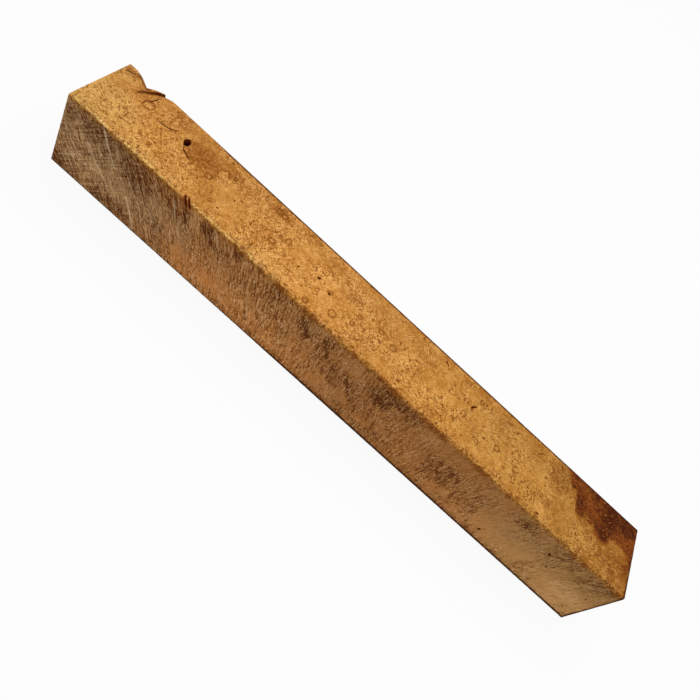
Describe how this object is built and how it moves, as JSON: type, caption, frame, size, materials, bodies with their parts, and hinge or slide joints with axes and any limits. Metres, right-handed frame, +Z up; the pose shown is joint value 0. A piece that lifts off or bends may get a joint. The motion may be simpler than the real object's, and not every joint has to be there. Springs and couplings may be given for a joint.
{
  "type": "wood turning blank",
  "caption": "Squared burl wood billet for spindle turning, rough-sawn, with eyes, a knot hole, a bark pocket and a chipped arris.",
  "frame": {"origin": "middle of the billet's bottom face, on the surface that it lies on", "axes": "+X along the billet towards the end with the red heartwood, +Y across towards the chipped back arris, +Z up out of the figured top face"},
  "size_m": [0.3064, 0.038, 0.038],
  "materials": {
    "burl_wood": "rough-sawn burl, golden brown with darker eyes and red-brown heartwood, unsealed, dull"
  },
  "bodies": {
    "root": {"turning_blank": "burl_wood"}
  },
  "joints": []
}
